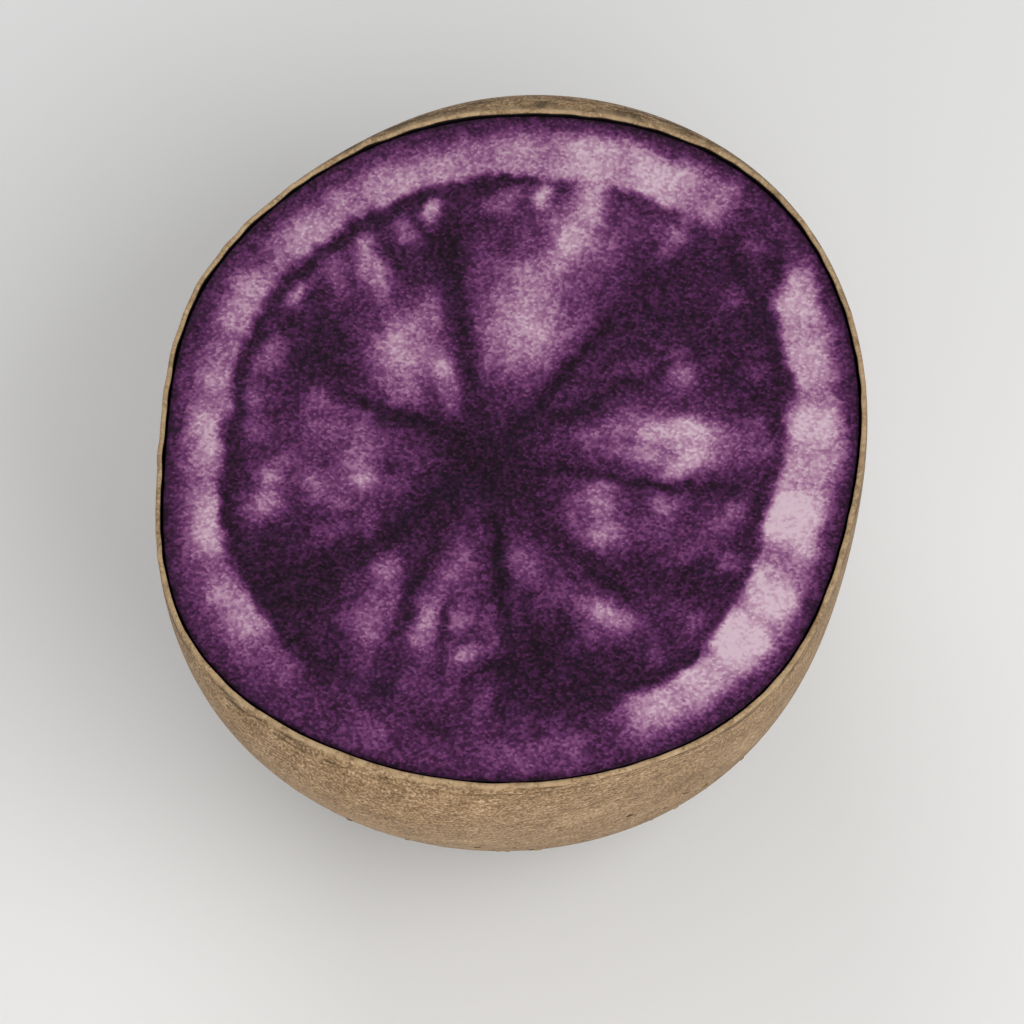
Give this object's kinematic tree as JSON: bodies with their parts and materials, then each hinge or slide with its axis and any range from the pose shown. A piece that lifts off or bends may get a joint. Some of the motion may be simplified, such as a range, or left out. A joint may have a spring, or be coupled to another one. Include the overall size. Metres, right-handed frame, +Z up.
{
  "type": "halved purple potato",
  "caption": "Purple-fleshed potato half, cut across and lying on its round end with the marbled cut face up, for food scenes and grasping.",
  "frame": {"origin": "under the middle of the half's bounding box, on the surface that the round end rests on", "axes": "+Z up, out of the cut face; +Y along the longer width of the cut, away from the viewer; +X to the right"},
  "size_m": [0.0524, 0.0586, 0.0355],
  "materials": {
    "skin": "dry netted tan to grey-brown skin",
    "flesh": "moist fine-grained cut flesh, dark purple marbled with pale lilac"
  },
  "bodies": {
    "root": {"half_potato": "skin"}
  },
  "joints": []
}
